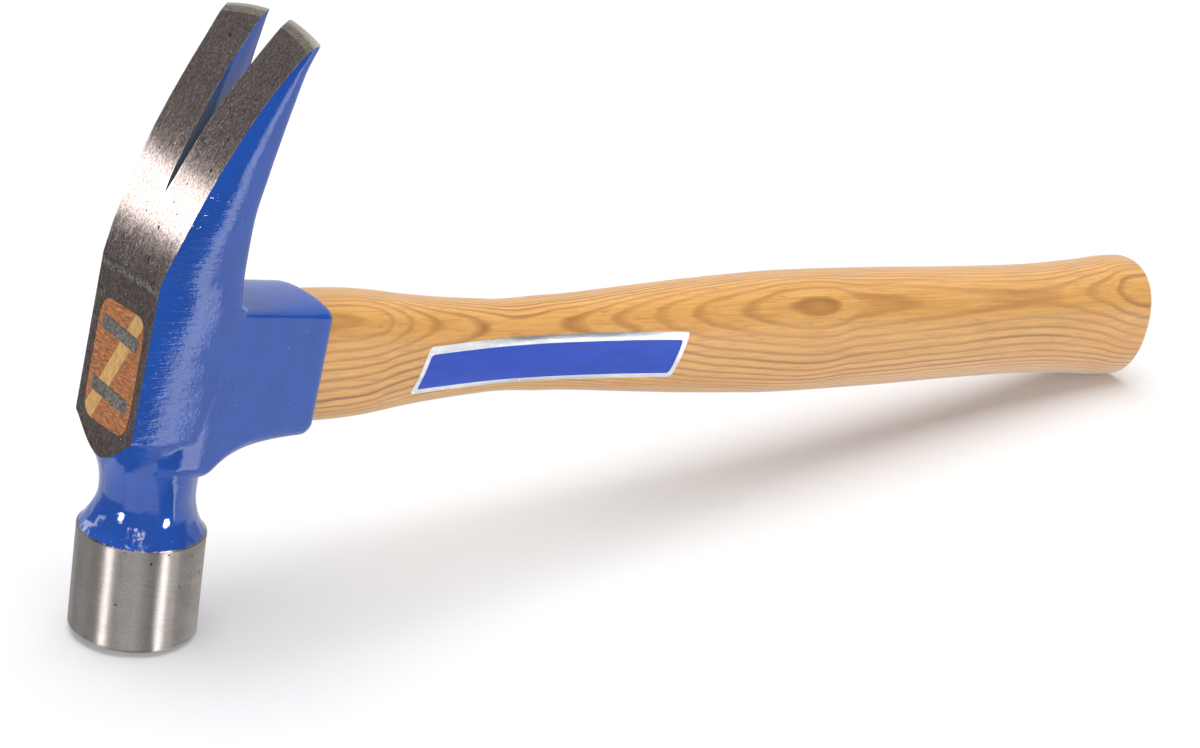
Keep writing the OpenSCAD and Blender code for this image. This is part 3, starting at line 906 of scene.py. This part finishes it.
def grind_face(body):
    """Grinds the flat face and the tops of the claws."""
    heights = np.arange(FACE_TOP, 99, 0.6)
    ground = [(-45, -30), (FACE_AT, -30)] + [(float(top_at(z)), z) for z in heights]
    carve(body, prism("ground", ground + [(-45, heights[-1])], -40, 40, "y"))


def grind_tips(body, bevel):
    """Rounds the line of the claw tips and bevels its top edge."""
    across = np.linspace(-TIP_REACH, TIP_REACH, 53)
    tip = [(y, float(tip_at(y))) for y in across] + [(TIP_REACH, 120), (-TIP_REACH, 120)]
    carve(body, prism("tip", tip, -60, 60, "x"))
    slices = []
    for y in across:
        high = float(tip_at(y))
        foot, edge = float(top_at(high - bevel)), float(top_at(high))
        front, above, below = foot - 9, high + 3, high - bevel - 3
        slices.append([
            (foot, y, high - bevel), (edge + 0.62, y, high + 0.01), (edge + 2.4, y, above),
            (front, y, above), (front, y, below), (foot - 4.5, y, below),
        ])
    carve(body, loft("bevel", slices))


def cut_slot(body):
    """The nail slot, whose walls spread towards the underside."""
    root = SLOT_HEIGHTS[0]
    rings = []
    for z in np.concatenate([np.linspace(root, 52, 9), np.linspace(54, SLOT_HEIGHTS[-1], 23)]):
        gap = float(np.interp(z, SLOT_HEIGHTS, SLOT_HALVES))
        top, under = float(top_at(z)), under_at(z)
        relief = min(1.0, (z - root) / 14)
        waist = top + 0.45 * (under - top)
        wide = gap + relief * 0.5 * (under + 2 - waist)
        half = [(top - 8, gap), (waist, gap), (under + 2, wide)]
        rings.append([(x, -y, z) for x, y in half] + [(x, y, z) for x, y in reversed(half)])
    carve(body, loft("slot", rings))


def turn_poll(body, radius, chamfer):
    """Joins on the turned poll, whose striking face is chamfered."""
    turns = [2 * math.pi * i / 180 for i in range(180)]
    rings = []
    for reach, depth in (
        (0.5, POLL_TOP), (radius, POLL_TOP), (radius, 60), (radius, POLL_REACH - chamfer),
        (radius - chamfer, POLL_REACH), (0.5, POLL_REACH),
    ):
        rings.append(leaned([(reach * math.cos(a), reach * math.sin(a), -depth) for a in turns]))
    carve(body, loft("poll", rings), "UNION")


def mark_finishes(mesh, bevel, radius):
    """Marks each face as enamel, ground steel, bare tip or turned poll, which are 0 to 3."""
    x, y, z = read(mesh, "polygons", "center").T
    facing = read(mesh, "polygons", "normal")[:, 0]
    high = tip_at(np.clip(y, -TIP_REACH, TIP_REACH))
    depth = x * math.sin(POLL_LEAN) - z * math.cos(POLL_LEAN)
    from_axis = np.hypot(x * math.cos(POLL_LEAN) + z * math.sin(POLL_LEAN), y)
    kinds = np.zeros(len(x), int)
    kinds[(np.abs(x - top_at(z)) < 0.03) & (facing < -0.7) & (z > -27)] = 1
    kinds[(z > high - bevel - 0.3) & (facing < -0.3) & (kinds == 0)] = 2
    kinds[z > high - 0.05] = 2
    kinds[(depth > POLL_TOP - 0.3) & (from_axis < radius + 0.01)] = 3
    # The eye's walls are bare
    kinds[(x > FACE_AT + 0.1) & (x < 43.4) & (np.abs(y) < 11.25) & (np.abs(z) < 16.5)] = 1
    mesh.polygons.foreach_set("material_index", kinds.astype(np.int32))


class HAMMER_OT_head(bpy.types.Operator):
    """Forges, grinds and paints the head"""
    bl_idname = "hammer.head"
    bl_label = "Head"

    def execute(self, context):
        sizes = context.scene.hammer_head
        body = forge_body(sizes)
        roughen(body, sizes)
        bevel, radius = sizes.tip_bevel / MM, sizes.poll_radius / MM
        grind_face(body)
        grind_tips(body, bevel)
        cut_slot(body)
        carve(body, tenon("eye", FIT_GAP, 2.0))
        turn_poll(body, radius, sizes.poll_chamfer / MM)
        finishes = (enamel_material(sizes), ground_material(sizes), tip_material(), poll_material(sizes))
        clothe(body, *finishes)
        mark_finishes(body.data, bevel, radius)
        finish_edges(body.data)
        hand_over(body, "head")
        return {"FINISHED"}


# The handle. Half heights and half widths go by place x, in real millimetres.
GRIP_PLACES = (43.8, 57, 64, 71, 78, 85, 92, 100, 107, 114, 122, 129, 137, 145, 152, 160, 168, 176, 185,
               193, 201, 210, 218, 236, 254, 272, 300, 325, 340, 350, 360, 371, 381, 392.6)
GRIP_HALVES = (17.7, 17.6, 17.2, 16.5, 15.6, 14.9, 14.3, 13.8, 13.45, 13.1, 13.3, 13.7, 13.9, 14.3, 14.8,
               15.35, 15.9, 16.4, 17.0, 17.4, 17.8, 18.2, 18.6, 18.85, 18.8, 18.7, 18.2, 18.05, 18.1,
               18.4, 18.9, 19.5, 20.25, 20.33)
WIDE_PLACES = (43.8, 60, 90, 113, 150, 200, 238, 290, 340, 365, 385, 392.6)
WIDE_HALVES = (12.5, 12.2, 10.7, 10.0, 11.0, 13.4, 14.4, 14.2, 13.8, 14.2, 15.3, 15.5)
POWER_PLACES = (43.8, 75, 110, 392.6)
POWERS = (2.8, 2.6, 2.3, 2.25)
POWER_SCALE = 4
# The tables' greatest values, and their values at the belly
TALLEST = max(GRIP_HALVES)
WIDEST = max(WIDE_HALVES)
BELLY_HALF = 18.85
BELLY_WIDE = 14.4
# How finely the grip is drawn, along it and round it
GRIP_ROWS = 260
GRIP_SIDES = 121


def grip_tree(sizes, material, rows, sides):
    """Geometry Nodes for the grip: rings along the handle whose sizes follow three curves."""
    tree = bpy.data.node_groups.new("handle_grip", "GeometryNodeTree")
    put = partial(add, tree)
    face = tree.interface
    face.new_socket("Geometry", in_out="OUTPUT", socket_type="NodeSocketGeometry")
    start, end = sizes.socket_reach / MM, sizes.butt_end / MM
    named = {
        "Start": start, "Length": end - start, "Half height": sizes.belly_height / MM / 2,
        "Half width": sizes.belly_width / MM / 2, "Rim": sizes.butt_rim / MM,
    }
    sockets = {}
    for name, value in named.items():
        sockets[name] = face.new_socket(name, in_out="INPUT", socket_type="NodeSocketFloat")
        sockets[name].default_value = value
    for name, value in (("Rows", rows), ("Sides", sides)):
        sockets[name] = face.new_socket(name, in_out="INPUT", socket_type="NodeSocketInt")
        sockets[name].default_value = value
    sockets["Material"] = face.new_socket("Material", in_out="INPUT", socket_type="NodeSocketMaterial")
    given = put("NodeGroupInput").node.outputs
    grid = put("GeometryNodeMeshGrid", 1.0, 1.0, given["Rows"], given["Sides"])
    place = put("ShaderNodeSeparateXYZ", put("GeometryNodeInputPosition")).node.outputs
    run = put(MATH, place["X"], 0.5, operation="ADD")
    turn = put(MATH, place["Y"], 2 * math.pi, math.pi, operation="MULTIPLY_ADD")
    # Rows crowd together at the rim, and the first and last two rows are the closed ends
    step = 1 / (rows - 1)
    rim_from = 1 - 1.1 * sizes.butt_rim / MM / (end - start)
    share = put("ShaderNodeFloatCurve", {"Value": run}, stops=[
        (0, 0), (step, 0), (0.95, rim_from), (1 - step, 1), (1, 1),
    ])
    x = put(MATH, share, given["Length"], given["Start"], operation="MULTIPLY_ADD")
    high, wide, power = (
        put("ShaderNodeFloatCurve", {"Value": share}, stops=[
            ((p - start) / (end - start), value / most) for p, value in zip(places, values)
        ])
        for places, values, most in (
            (GRIP_PLACES, GRIP_HALVES, TALLEST), (WIDE_PLACES, WIDE_HALVES, WIDEST),
            (POWER_PLACES, POWERS, POWER_SCALE),
        )
    )
    tall = put(MATH, given["Half height"], TALLEST / BELLY_HALF, operation="MULTIPLY")
    high = put(MATH, high, tall, operation="MULTIPLY")
    broad = put(MATH, given["Half width"], WIDEST / BELLY_WIDE, operation="MULTIPLY")
    wide = put(MATH, wide, broad, operation="MULTIPLY")
    power = put(MATH, 2.0 / POWER_SCALE, power, operation="DIVIDE")
    # The rim: a quarter round into the flat end
    to_rim = put(MATH, given["Start"], given["Length"], operation="ADD")
    to_rim = put(MATH, to_rim, given["Rim"], operation="SUBTRACT")
    into = put(MATH, x, to_rim, operation="SUBTRACT")
    into = put(MATH, into, given["Rim"], operation="DIVIDE", use_clamp=True)
    inset = put(MATH, 1.0, put(MATH, into, into, operation="MULTIPLY"), operation="SUBTRACT")
    inset = put(MATH, 1.0, put(MATH, inset, operation="SQRT"), operation="SUBTRACT")
    inset = put(MATH, inset, given["Rim"], operation="MULTIPLY")
    # The first and last rows close to a point
    near_end = put(MATH, place["X"], operation="ABSOLUTE")
    open_row = put(MATH, near_end, 0.5 - step / 2, operation="LESS_THAN")
    axes = []
    for wave_kind, half in (("COSINE", wide), ("SINE", high)):
        wave = put(MATH, turn, operation=wave_kind)
        shape = put(MATH, put(MATH, wave, operation="ABSOLUTE"), power, operation="POWER")
        shape = put(MATH, shape, put(MATH, wave, operation="SIGN"), operation="MULTIPLY")
        reach = put(MATH, half, inset, operation="SUBTRACT")
        shape = put(MATH, shape, reach, operation="MULTIPLY")
        axes.append(put(MATH, shape, open_row, operation="MULTIPLY"))
    target = put("ShaderNodeCombineXYZ", x, *axes)
    moved = put("GeometryNodeSetPosition", {"Geometry": grid, "Position": target})
    closed = put("GeometryNodeMergeByDistance", {"Geometry": moved, "Distance": 0.005})
    real = put("GeometryNodeRealizeInstances", {"Geometry": closed})
    done = put("GeometryNodeSetMaterial", {"Geometry": real, "Material": given["Material"]})
    put("NodeGroupOutput", {"Geometry": done})
    values = {**named, "Rows": rows, "Sides": sides, "Material": material}
    return tree, {sockets[name].identifier: value for name, value in values.items()}


# The wedges, as the frame has them
WOOD_WEDGE = {"thick": 4.5, "deep": 26, "long": 70, "turn": 117, "at": 0}
STEEL_WEDGES = tuple(
    {"thick": 3.8, "deep": 19, "long": 16.8, "turn": 5, "at": side * 8.4} for side in (-1, 1)
)


def wedge_slit(wedge, gap=FIT_GAP, past=2.0):
    """The slit that a wedge fills in the end of the handle."""
    turn = Matrix.Rotation(math.radians(wedge["turn"]), 3, "X")
    half, long = wedge["thick"] / 2 + gap, wedge["long"] / 2 + gap
    slope = half / wedge["deep"]
    rings = []
    for x, wide in ((-past, half + slope * past), (wedge["deep"] + gap, gap)):
        corners = [(x, -long, -wide), (x, long, -wide), (x, long, wide), (x, -long, wide)]
        rings.append([turn @ Vector(c) + Vector((FACE_AT, 0, wedge["at"])) for c in corners])
    return loft("slit", rings)


class HAMMER_OT_handle(bpy.types.Operator):
    """Shapes the hickory handle and slits its end for the wedges"""
    bl_idname = "hammer.handle"
    bl_label = "Handle"

    def execute(self, context):
        sizes = context.scene.hammer_handle
        material = hickory_material(sizes)
        piece = as_object("handle", [(0, 0, 0), (1, 0, 0), (0, 1, 0)], [(0, 1, 2)])
        tree, values = grip_tree(sizes, material, GRIP_ROWS, GRIP_SIDES)
        grip = piece.modifiers.new("grip", "NODES")
        grip.node_group = tree
        for key, value in values.items():
            grip[key] = value
        applied(piece)
        turn_outward(piece.data)
        carve(piece, tenon("tenon"), "UNION")
        for wedge in (WOOD_WEDGE, *STEEL_WEDGES):
            carve(piece, wedge_slit(wedge))
        clothe(piece, material)
        finish_edges(piece.data)
        hand_over(piece, "handle")
        return {"FINISHED"}


# Corners of the label as seen square on to the handle's side: place and height of each
LABEL_CORNERS = ((77.4, -9.1), (174.8, -8.3), (178.0, 6.0), (81.0, 4.8))
LABEL_HEIGHT = 12.9
LABEL_BOW = 0.8
# Rounding of its corners, and how finely it is drawn
LABEL_ROUND = 0.9
LABEL_COLUMNS = 150
LABEL_ROWS = 24
# How far the printed field lies below the label's middle
LABEL_OFFSET = 0.45


def laid_label(wood, long, high):
    """The label's points on the wood, the way out of the wood at each, and their places on flat foil."""
    grid, flats = [], []
    for i in range(LABEL_COLUMNS):
        for j in range(LABEL_ROWS):
            u, v = i / (LABEL_COLUMNS - 1), j / (LABEL_ROWS - 1)
            # Round the corners a little
            in_x = max(0.0, LABEL_ROUND - min(u, 1 - u) * long)
            in_z = max(0.0, LABEL_ROUND - min(v, 1 - v) * high)
            pull = max(0.0, math.hypot(in_x, in_z) - LABEL_ROUND)
            v += (0.5 - v) * 2 * pull / high
            u += (0.5 - u) * 2 * pull / long
            low = between(LABEL_CORNERS[0], LABEL_CORNERS[1], u)
            top = between(LABEL_CORNERS[3], LABEL_CORNERS[2], u)
            x, z = between(low, top, v)
            z += LABEL_BOW * 4 * u * (1 - u)
            hit, normal, _, _ = wood.ray_cast(Vector((x, -40, z)), Vector((0, 1, 0)))
            if hit is None:
                raise RuntimeError("the label misses the handle")
            grid.append((hit, -normal if normal.y > 0 else normal))
            flats.append((u * long, v * high))
    return grid, flats


def label_mesh(grid, flats, thick):
    """The foil: its face, its back just off the wood, and its rim."""
    columns, rows, count = LABEL_COLUMNS, LABEL_ROWS, len(grid)
    places = [h + n * thick for h, n in grid] + [h + n * 0.01 for h, n in grid]
    faces = []
    for i in range(columns - 1):
        for j in range(rows - 1):
            a = i * rows + j
            quad = [a, a + rows, a + rows + 1, a + 1]
            faces.append(quad)
            faces.append([count + k for k in reversed(quad)])
    rim = [i * rows for i in range(columns)] + [(columns - 1) * rows + j for j in range(1, rows)]
    rim += [i * rows + rows - 1 for i in range(columns - 2, -1, -1)] + list(range(rows - 2, 0, -1))
    for a, b in zip(rim, rim[1:] + rim[:1]):
        faces.append([b, a, a + count, b + count])
    mesh = bpy.data.meshes.new("label")
    mesh.from_pydata([tuple(p) for p in places], [], faces)
    flat = mesh.uv_layers.new(name="label")
    for loop in mesh.loops:
        flat.data[loop.index].uv = flats[loop.vertex_index % count]
    return mesh


class HAMMER_OT_trim(bpy.types.Operator):
    """Lays the foil label on the handle and finishes the wedges"""
    bl_idname = "hammer.trim"
    bl_label = "Label and wedges"

    def execute(self, context):
        sizes = context.scene.hammer_trim
        handle = bpy.data.objects["handle_piece"]
        points = [STAND.inverted() @ v.co for v in handle.data.vertices]
        wood = BVHTree.FromPolygons(points, [tuple(p.vertices) for p in handle.data.polygons])
        long, high = LABEL_CORNERS[1][0] - LABEL_CORNERS[0][0], LABEL_HEIGHT
        mesh = label_mesh(*laid_label(wood, long, high), sizes.label_thickness / MM)
        label = placed("label", mesh)
        turn_outward(mesh)
        mesh.materials.append(foil_material(sizes, long, high))
        finish_edges(mesh, 50)
        hand_over(label, "label")

        finishes = {
            "wood_wedge": wedge_wood_material(sizes),
            "steel_wedge_claw_side": wedge_steel_material(sizes),
        }
        finishes["steel_wedge_poll_side"] = finishes["steel_wedge_claw_side"]
        for node, material in finishes.items():
            clothe(frame["nodes"][node], material)
        return {"FINISHED"}


# What gloss shows of the studio: azimuths from and to, rises from and to, in degrees, and the level
REFLECTIONS = (
    ("floor below", -200, 200, -90, -64, 0.25),
    ("dark overhead", -200, 200, 66, 90, 0.4),
    ("paper at the front", -175, -95, -64, -14, 1.8),
    ("dark front", -210, -20, 2, 64, 0.3),
    ("dark front, low", -190, -95, -14, 4, 0.3),
    ("dark gap", -95, -62, -30, 4, 0.25),
    ("bright card", -62, -52.5, -45, 2, 4.6),
    ("paper at the right", -52.5, 20, -45, 2, 1.6),
    ("paper at the left", 102, 185, -75, -26, 1.6),
    ("dark left, low", 102, 190, -26, 4.5, 0.3),
    ("dark left, high", 102, 190, 4.5, 77, 0.38),
    ("left card", 102, 150, 4.5, 11.5, 5.5),
    ("left strip", -180, -171, -4, 10, 80.0),
    ("right strip", -85, -76, 0, 13, 90.0),
    ("overhead strip", -171, -115, 55, 61, 25.0),
    ("small lamp", -133, -124, 28, 36, 30.0),
    ("small lamp", -149, -144, 20, 28, 30.0),
)
PATCH_EDGE = 0.93
# The wide light overhead: its spread in degrees and where it comes from
KEY_SPREAD = 62
KEY_FROM = (0.1, 0.14, 1)
# Side from which the studio's walls light the hammer, and by how much more
WALL_FROM = (-0.62, -0.78, 0)
WALL_LIGHT = 2.05
# The studio's own level, under which the camera still sees plain white
STUDIO_LEVEL = 0.8


def photo_camera():
    """The camera that was fitted to the photograph."""
    turn, rise, roll = (math.radians(a) for a in (CAMERA_TURN, CAMERA_RISE, CAMERA_ROLL))
    back = Vector((math.sin(turn) * math.cos(rise), -math.cos(turn) * math.cos(rise), math.sin(rise)))
    right = Vector((math.cos(turn), math.sin(turn), 0))
    up = back.cross(right)
    right, up = (
        math.cos(roll) * right + math.sin(roll) * up,
        math.cos(roll) * up - math.sin(roll) * right,
    )
    spot = Vector(CAMERA_TARGET) + right * CAMERA_ASIDE + up * CAMERA_DOWN + back * CAMERA_DISTANCE
    facing = Matrix((right, up, back)).transposed().to_4x4()
    eye = bpy.data.cameras.new("photo_camera")
    eye.sensor_width = SENSOR
    eye.lens = FOCAL_PIXELS / PHOTO_WIDTH * SENSOR
    eye.clip_start = 0.01
    camera = placed("photo_camera", eye)
    camera.matrix_world = Matrix.Translation(STAND @ spot) @ TURN @ facing
    return camera


def paper_floor(sizes):
    """White paper that takes the shadow, and adds a little white of its own for the camera."""
    reach = sizes.floor_reach
    mesh = bpy.data.meshes.new("floor")
    corners = [(-reach, -reach, 0), (reach, -reach, 0), (reach, reach, 0), (-reach, reach, 0)]
    mesh.from_pydata(corners, [], [(0, 1, 2, 3)])
    floor = placed("floor", mesh)
    material = bpy.data.materials.new("white_paper_floor")
    material.use_nodes = True
    material.node_tree.nodes.clear()
    put = partial(add, material.node_tree)
    seen = put("ShaderNodeLightPath", out="Is Camera Ray")
    seen = put(MATH, seen, sizes.floor_white, operation="MULTIPLY")
    paper = put("ShaderNodeBsdfDiffuse", srgb("DFDFE0"))
    white = put("ShaderNodeEmission", {"Strength": seen})
    put("ShaderNodeOutputMaterial", put("ShaderNodeAddShader", paper, white))
    mesh.materials.append(material)
    floor.visible_glossy = False


def soft_key(sizes):
    """The wide light overhead."""
    lamp = bpy.data.lights.new("soft_key", "SUN")
    lamp.angle = math.radians(KEY_SPREAD)
    lamp.energy = sizes.key_strength
    key = placed("soft_key", lamp)
    key.matrix_world = Vector(KEY_FROM).to_track_quat("Z", "Y").to_matrix().to_4x4()
    key.visible_glossy = False


def white_studio(scene):
    """Plain white for the camera, patches for gloss, and a soft base with one brighter wall for the rest."""
    world = bpy.data.worlds.new("white_studio")
    scene.world = world
    world.use_nodes = True
    world.cycles.sampling_method = "NONE"
    world.node_tree.nodes.clear()
    put = partial(add, world.node_tree)
    rays = put("ShaderNodeLightPath").node.outputs
    turned = put("ShaderNodeVectorRotate", {
        "Vector": put("ShaderNodeTexCoord", out="Generated"), "Axis": (0, 1, 0), "Angle": -TILT,
    })
    way = put("ShaderNodeSeparateXYZ", turned).node.outputs
    azimuth = put(MATH, way["Y"], way["X"], operation="ARCTAN2")
    height = put(MATH, way["Z"], operation="ARCSINE")
    level = 1.0
    for _, *angles, value in REFLECTIONS:
        first, last, low, top = (math.radians(angle) for angle in angles)
        off = put(MATH, azimuth, (first + last) / 2, operation="SUBTRACT")
        off = put(MATH, off, math.pi, -math.pi, operation="WRAP")
        off = put(MATH, off, operation="ABSOLUTE")
        off = put(MATH, off, (last - first) / 2, operation="DIVIDE")
        above = put(MATH, height, (low + top) / 2, operation="SUBTRACT")
        above = put(MATH, above, operation="ABSOLUTE")
        above = put(MATH, above, (top - low) / 2, operation="DIVIDE")
        out = put(MATH, off, above, operation="MAXIMUM")
        inside = put(RANGE, out, 1.0, PATCH_EDGE, **SOFT)
        level = put(MIX, {0: inside, 2: level, 3: value})
    # The wall lights from one side and dies away upwards, and the base darkens upwards
    wall = put(VECTOR, turned, WALL_FROM, operation="DOT_PRODUCT", out="Value")
    wall = put(MATH, wall, WALL_LIGHT, operation="MULTIPLY")
    wall = put(MATH, wall, 0.0, operation="MAXIMUM")
    steep = put(MATH, way["Z"], operation="ABSOLUTE")
    level_share = put(MATH, 1.0, steep, operation="SUBTRACT")
    base = put(RANGE, way["Z"], -0.3, 1.0, 0.55, 0.05)
    soft = put(MATH, wall, level_share, base, operation="MULTIPLY_ADD")
    lit = put(MIX, {0: rays["Is Glossy Ray"], 2: soft, 3: level})
    lit = put(MATH, lit, STUDIO_LEVEL, operation="MULTIPLY")
    shown = put(MIX, {0: rays["Is Camera Ray"], 2: lit, 3: 1.0})
    put("ShaderNodeOutputWorld", put("ShaderNodeBackground", srgb("FFFFFF"), shown))


class HAMMER_OT_stage(bpy.types.Operator):
    """Sets the camera, the floor, the lamp and the white studio"""
    bl_idname = "hammer.stage"
    bl_label = "Stage"

    def execute(self, context):
        sizes = context.scene.hammer_stage
        scene = context.scene
        scene.camera = photo_camera()
        paper_floor(sizes)
        soft_key(sizes)
        white_studio(scene)
        scene.view_settings.view_transform = "Standard"
        return {"FINISHED"}


class HAMMER_PT_panel(bpy.types.Panel):
    """Lists the steps that build the hammer"""
    bl_idname = "HAMMER_PT_panel"
    bl_label = "Framing hammer"
    bl_space_type = "VIEW_3D"
    bl_region_type = "UI"
    bl_category = "Hammer"

    def draw(self, context):
        for step in STEPS:
            self.layout.operator(step.bl_idname)


GROUPS = {
    "hammer_head": HammerHeadSizes,
    "hammer_handle": HammerHandleSizes,
    "hammer_trim": HammerTrimSizes,
    "hammer_stage": HammerStageSizes,
}
STEPS = (HAMMER_OT_head, HAMMER_OT_handle, HAMMER_OT_trim, HAMMER_OT_stage)


def register():
    for name, group in GROUPS.items():
        bpy.utils.register_class(group)
        setattr(bpy.types.Scene, name, PointerProperty(type=group))
    for step in (*STEPS, HAMMER_PT_panel):
        bpy.utils.register_class(step)


def unregister():
    for step in (*STEPS, HAMMER_PT_panel):
        bpy.utils.unregister_class(step)
    for name, group in GROUPS.items():
        delattr(bpy.types.Scene, name)
        bpy.utils.unregister_class(group)


def main():
    register()
    for step in STEPS:
        area, call = step.bl_idname.split(".")
        getattr(getattr(bpy.ops, area), call)()


if __name__ == "__main__":
    main()
